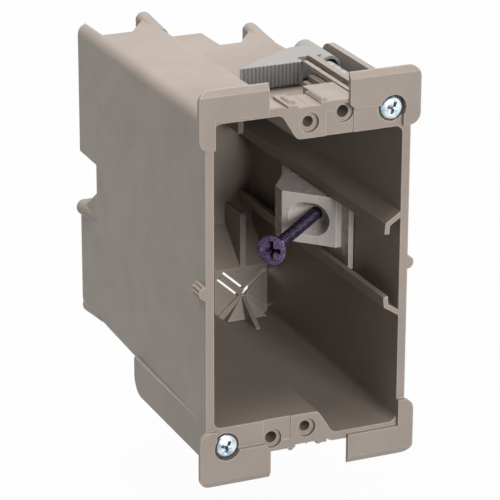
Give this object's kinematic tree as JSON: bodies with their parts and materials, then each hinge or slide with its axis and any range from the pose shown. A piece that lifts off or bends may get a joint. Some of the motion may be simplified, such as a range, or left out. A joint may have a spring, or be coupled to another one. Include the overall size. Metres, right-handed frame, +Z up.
{
  "type": "drywall back box",
  "caption": "Open-fronted wall box with ears, swing-out clamp wings and an angled stud screw, for mounting a switch or socket.",
  "frame": {"origin": "middle of the box's front face, in the plane of the wall surface that the ears lie on", "axes": "+X to the right seen from the front, +Y into the wall, +Z up"},
  "size_m": [0.0608, 0.0965, 0.1072],
  "materials": {
    "body_plastic": "moulded, satin",
    "zinc_steel": "bright zinc plate",
    "wing_plastic": "moulded, satin",
    "slider_plastic": "moulded, satin",
    "coated_steel": "dark purple coating, satin"
  },
  "bodies": {
    "box": {"box_body": "body_plastic"},
    "upper_screw": {"upper_clamp_screw": "zinc_steel"},
    "lower_screw": {"lower_clamp_screw": "zinc_steel"},
    "upper_wing": {"upper_clamp_wing": "wing_plastic"},
    "lower_wing": {"lower_clamp_wing": "wing_plastic"},
    "slider": {"slider_block": "slider_plastic"},
    "stud_screw": {"mounting_screw": "coated_steel"}
  },
  "joints": [
    {"name": "upper_screw_turn", "type": "hinge", "parent": "box", "child": "upper_screw", "pos_m": [0.02273, 0, 0.04287], "axis": [0, 1, 0], "continuous": true},
    {"name": "lower_screw_turn", "type": "hinge", "parent": "box", "child": "lower_screw", "pos_m": [-0.02273, 0, -0.04287], "axis": [0, 1, 0], "continuous": true},
    {"name": "upper_wing_swing", "type": "hinge", "parent": "box", "child": "upper_wing", "pos_m": [0.02273, 0.045, 0.04287], "axis": [0, 1, 0], "range_deg": [0, 90]},
    {"name": "lower_wing_swing", "type": "hinge", "parent": "box", "child": "lower_wing", "pos_m": [-0.02273, 0.045, -0.04287], "axis": [0, 1, 0], "range_deg": [0, 90]},
    {"name": "slider_travel", "type": "slide", "parent": "box", "child": "slider", "axis": [-0.017, 0.9999, 0], "range_m": [-0.006, 0.021]},
    {"name": "stud_screw_drive", "type": "slide", "parent": "slider", "child": "stud_screw", "axis": [0.7314, 0.682, 0], "range_m": [0, 0.0265]}
  ]
}
